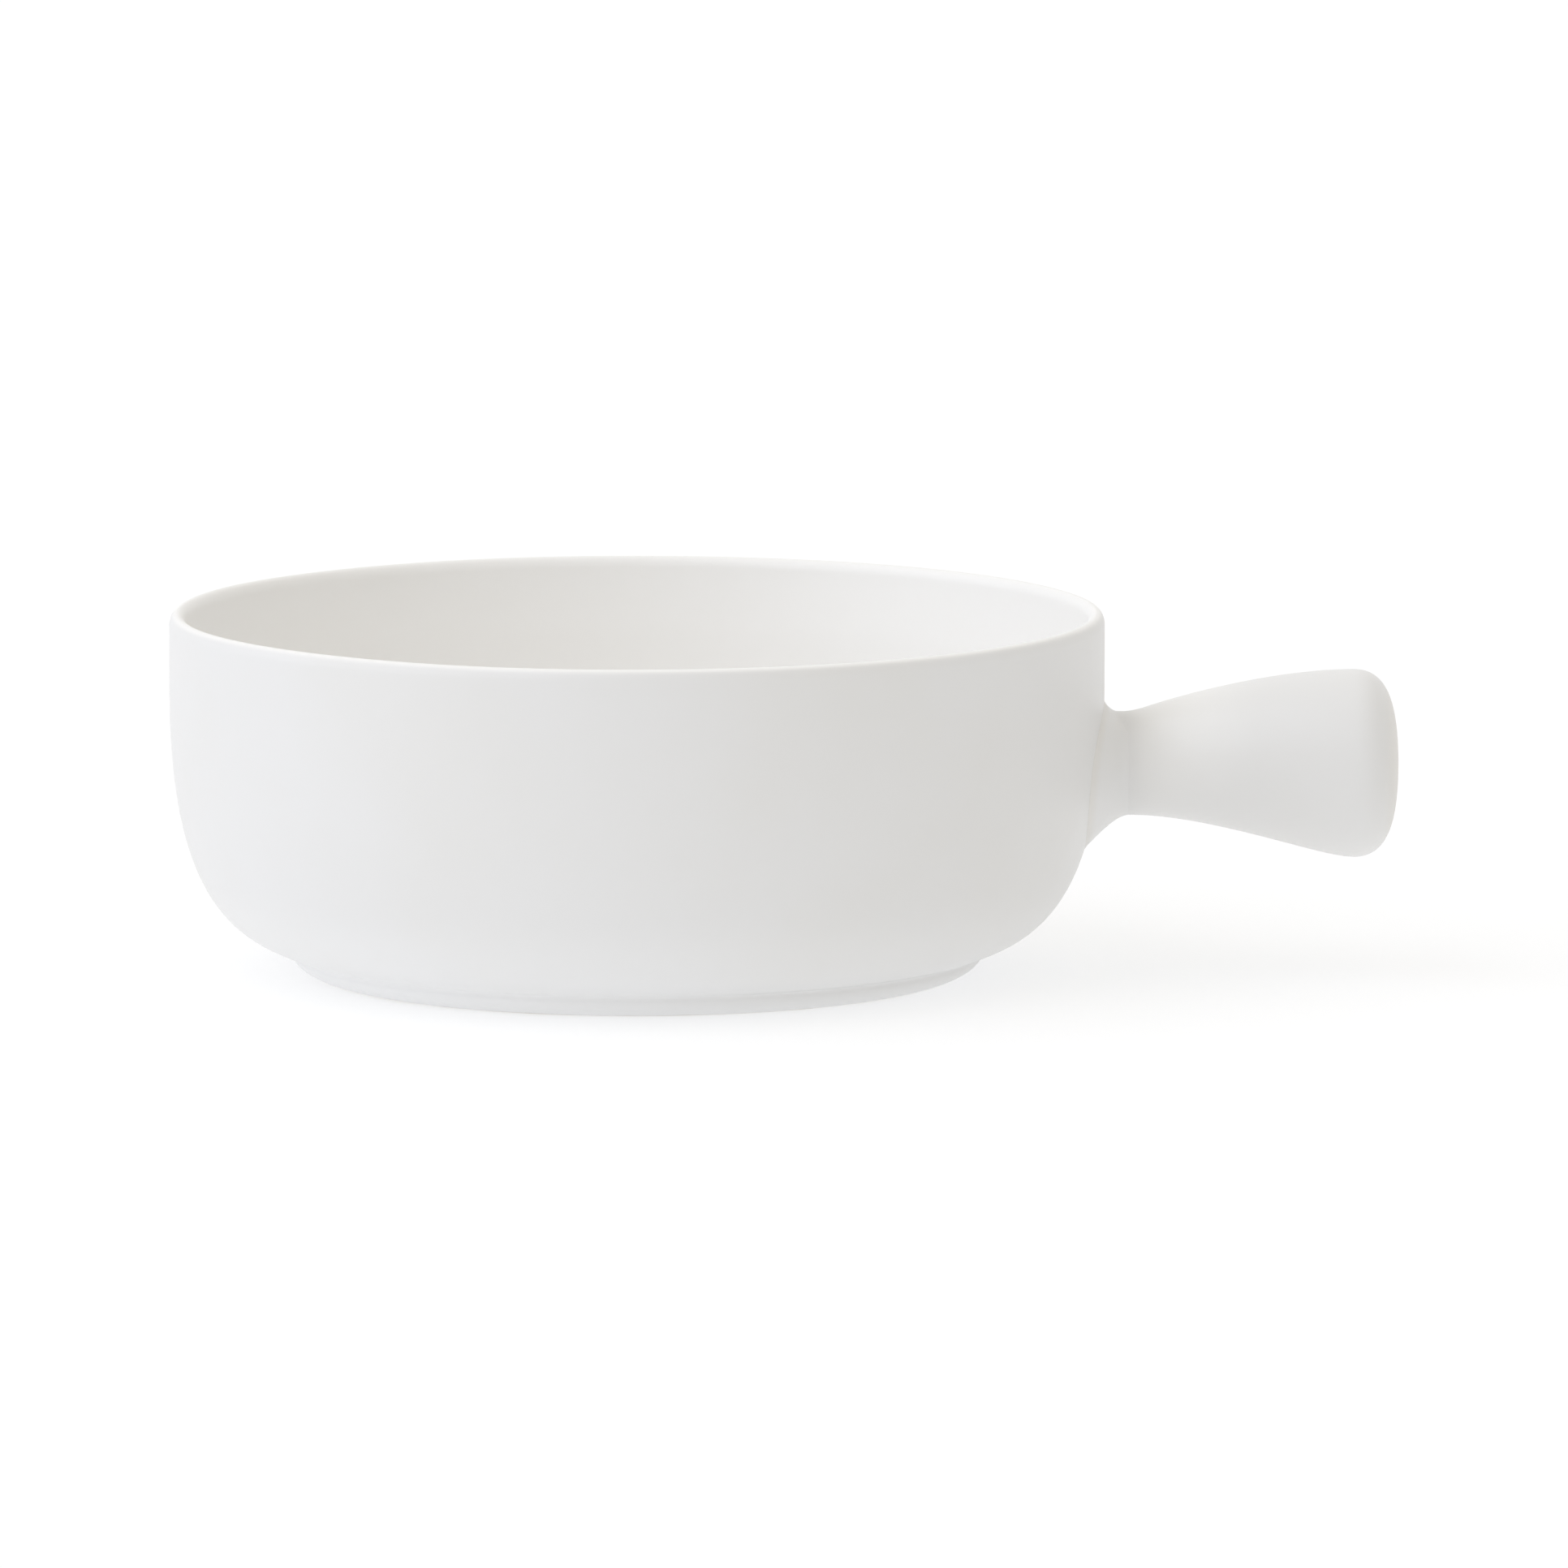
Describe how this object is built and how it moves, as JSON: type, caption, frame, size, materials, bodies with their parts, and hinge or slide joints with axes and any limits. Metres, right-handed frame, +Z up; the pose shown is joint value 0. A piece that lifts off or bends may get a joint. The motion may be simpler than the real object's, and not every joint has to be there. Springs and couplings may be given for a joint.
{
  "type": "handled salad bowl",
  "caption": "Straight-walled satin white ceramic bowl on a low foot ring, with a stub handle that flares from a collared neck to a domed end.",
  "frame": {"origin": "on the resting plane, midway along the overall length, between the far side of the wall and the tip of the handle", "axes": "+X from the bowl along the handle, +Z up through the mouth, +Y across"},
  "size_m": [0.2366, 0.18, 0.07],
  "materials": {
    "white_glaze": "satin white glaze over stoneware",
    "foot_clay": "thin glaze running out to bare, dry stoneware on the resting face"
  },
  "bodies": {
    "root": {"bowl_body": "white_glaze", "foot_ring": "foot_clay", "handle": "white_glaze", "handle_collar": "white_glaze"}
  },
  "joints": []
}
